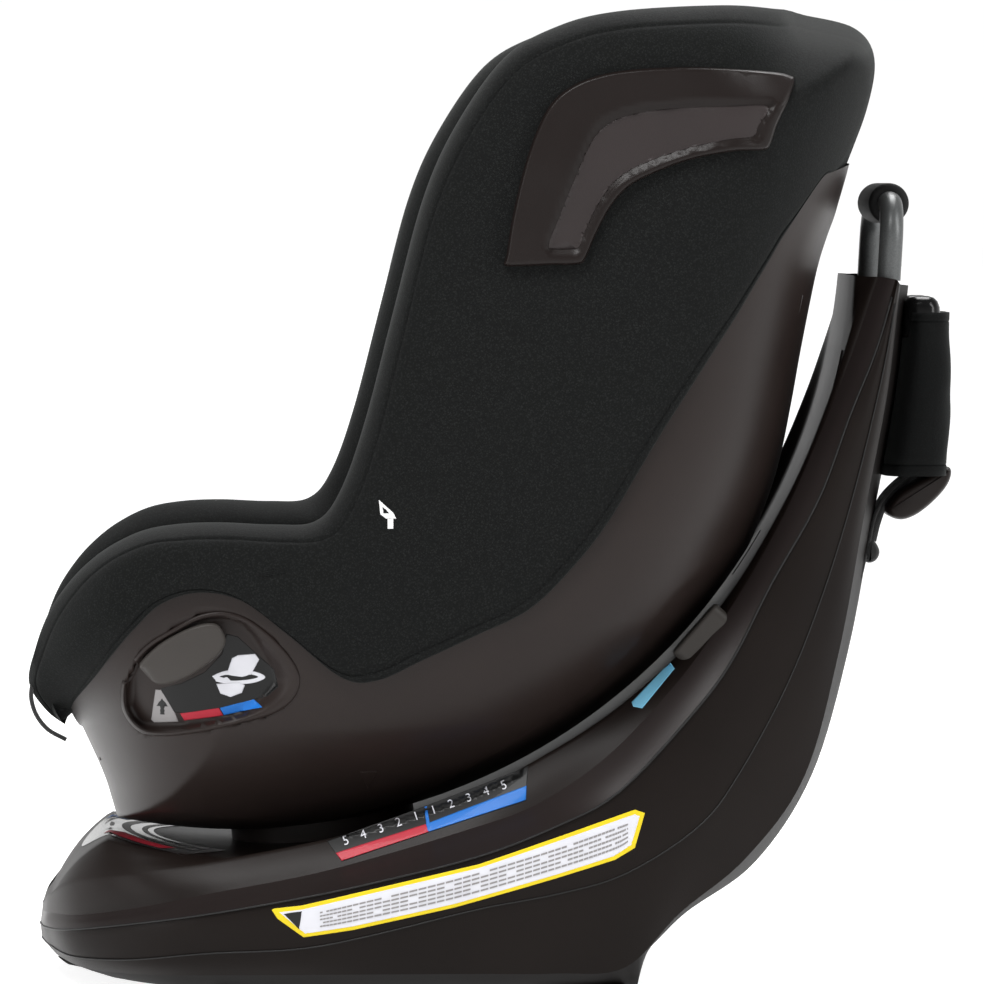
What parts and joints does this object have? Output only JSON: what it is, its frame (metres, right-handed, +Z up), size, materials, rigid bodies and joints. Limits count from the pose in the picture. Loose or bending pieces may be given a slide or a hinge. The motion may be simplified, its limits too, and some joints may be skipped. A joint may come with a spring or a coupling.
{
  "type": "rotating convertible car seat",
  "caption": "Child car seat with a padded bucket on a turning and reclining base, side wings, harness, tall rear spine and carry handle.",
  "frame": {"origin": "on the floor under the middle of the bounding box", "axes": "+Z up, -X towards the front edge of the seat, +Y to the right-hand side of the seat"},
  "size_m": [0.6388, 0.426, 0.67],
  "materials": {
    "shell_plastic": "satin moulded",
    "cover_fabric": "fine knit",
    "pad_fabric": "soft knit",
    "foam": "expanded foam",
    "steel": "black coated steel",
    "handle_steel": "satin graphite",
    "black_plastic": "fine texture",
    "grey_plastic": "fine texture",
    "rubber": "soft",
    "label": "printed film",
    "tag_blue": "printed film",
    "webbing": "woven",
    "red_button": "gloss",
    "gloss_black": "gloss"
  },
  "bodies": {
    "base": {"base_lower_shell": "shell_plastic", "base_upper_cover": "shell_plastic", "spine_back_cover": "shell_plastic", "spine_front_panel": "shell_plastic", "base_feet": "rubber", "handle_tube": "handle_steel", "handle_grip": "rubber", "recline_rails": "steel", "recline_lock_rack": "steel", "position_scales": "label", "belt_path_tags": "tag_blue", "side_labels": "label", "deck_label": "label", "base_screws": "steel", "anchor_sleeve": "webbing", "anchor_connectors": "gloss_black", "anchor_adjuster": "black_plastic", "anchor_strap": "webbing"},
    "belt_guide_left": {"belt_guide_left": "grey_plastic"},
    "belt_guide_right": {"belt_guide_right": "grey_plastic"},
    "sled": {"sled_frame": "shell_plastic", "glide_blocks": "grey_plastic", "bearing_ring": "grey_plastic", "turn_lock_plate": "steel"},
    "recline_pawl": {"recline_pawl": "steel"},
    "seat": {"seat_shell": "shell_plastic", "seat_frame": "steel", "turning_ring": "shell_plastic", "rotate_bezel_left": "shell_plastic", "rotate_bezel_right": "shell_plastic", "side_cover_left": "cover_fabric", "side_cover_right": "cover_fabric", "head_cover": "cover_fabric", "side_pod_left": "shell_plastic", "side_pod_right": "shell_plastic", "wing_pad_left": "pad_fabric", "wing_pad_right": "pad_fabric", "thigh_bolster_left": "pad_fabric", "thigh_bolster_right": "pad_fabric", "back_cushion": "pad_fabric", "seat_cushion": "pad_fabric", "foam_liner": "foam", "harness_straps": "webbing", "crotch_strap": "webbing", "buckle": "black_plastic", "shoulder_pads": "pad_fabric", "harness_adjuster": "black_plastic", "front_elastic": "webbing"},
    "rotate_button_left": {"rotate_button_left": "grey_plastic"},
    "rotate_button_right": {"rotate_button_right": "grey_plastic"},
    "turn_lock_pin_left": {"turn_lock_pin_left": "steel"},
    "turn_lock_pin_right": {"turn_lock_pin_right": "steel"},
    "recline_handle": {"recline_handle": "grey_plastic"},
    "headrest": {"headrest": "pad_fabric"},
    "headrest_lever": {"headrest_lever": "black_plastic"},
    "chest_clip": {"chest_clip": "black_plastic"},
    "buckle_button": {"buckle_button": "red_button"},
    "adjuster_button": {"adjuster_button": "red_button"}
  },
  "joints": [
    {"name": "recline", "type": "hinge", "parent": "base", "child": "sled", "pos_m": [-0.1752, 0, 0.5141], "axis": [0, -1, 0], "range_deg": [-1.65, 13.2]},
    {"name": "turn", "type": "hinge", "parent": "sled", "child": "seat", "pos_m": [-0.11789, 0, 0.10106], "axis": [-0.1374, 0, 0.9905], "continuous": true},
    {"name": "belt_guide_left_flip", "type": "hinge", "parent": "base", "child": "belt_guide_left", "pos_m": [0.14382, -0.137, 0.23482], "axis": [0.6587, 0, 0.7524], "range_deg": [0, 35]},
    {"name": "belt_guide_right_flip", "type": "hinge", "parent": "base", "child": "belt_guide_right", "pos_m": [0.14382, 0.137, 0.23482], "axis": [-0.6587, 0, -0.7524], "range_deg": [0, 35]},
    {"name": "recline_pawl_slide", "type": "slide", "parent": "sled", "child": "recline_pawl", "axis": [-0.3322, 0, 0.9432], "range_m": [0, 0.006], "stiffness_N_per_m": 300, "springref_m": -0.002},
    {"name": "recline_handle_pull", "type": "hinge", "parent": "seat", "child": "recline_handle", "pos_m": [-0.242, 0, 0.158], "axis": [0, 1, 0], "range_deg": [0, 10], "stiffness_Nm_per_rad": 0.6, "springref_deg": -5.73},
    {"name": "rotate_button_left_push", "type": "slide", "parent": "seat", "child": "rotate_button_left", "axis": [0, 1, 0], "range_m": [0, 0.008], "stiffness_N_per_m": 400, "springref_m": -0.002},
    {"name": "rotate_button_right_push", "type": "slide", "parent": "seat", "child": "rotate_button_right", "axis": [0, -1, 0], "range_m": [0, 0.008], "stiffness_N_per_m": 400, "springref_m": -0.002},
    {"name": "turn_lock_pin_left_lift", "type": "slide", "parent": "seat", "child": "turn_lock_pin_left", "axis": [-0.1374, 0, 0.9905], "range_m": [0, 0.01]},
    {"name": "turn_lock_pin_right_lift", "type": "slide", "parent": "seat", "child": "turn_lock_pin_right", "axis": [-0.1374, 0, 0.9905], "range_m": [0, 0.01]},
    {"name": "headrest_slide", "type": "slide", "parent": "seat", "child": "headrest", "axis": [0.392, 0, 0.92], "range_m": [0, 0.1]},
    {"name": "headrest_lever_squeeze", "type": "slide", "parent": "headrest", "child": "headrest_lever", "axis": [0.392, 0, 0.92], "range_m": [0, 0.006], "stiffness_N_per_m": 300, "springref_m": -0.002},
    {"name": "chest_clip_slide", "type": "slide", "parent": "seat", "child": "chest_clip", "axis": [0.392, 0, 0.92], "range_m": [-0.05, 0.025]},
    {"name": "buckle_button_press", "type": "slide", "parent": "seat", "child": "buckle_button", "axis": [0.867, 0, -0.4983], "range_m": [0, 0.003], "stiffness_N_per_m": 600, "springref_m": -0.001},
    {"name": "adjuster_button_press", "type": "slide", "parent": "seat", "child": "adjuster_button", "axis": [0.312, 0, -0.9501], "range_m": [0, 0.003], "stiffness_N_per_m": 600, "springref_m": -0.001}
  ],
  "couplings": [
    {"joint": "turn_lock_pin_left_lift", "follows": "rotate_button_left_push", "ratio": 1.25},
    {"joint": "turn_lock_pin_right_lift", "follows": "rotate_button_right_push", "ratio": 1.25}
  ]
}
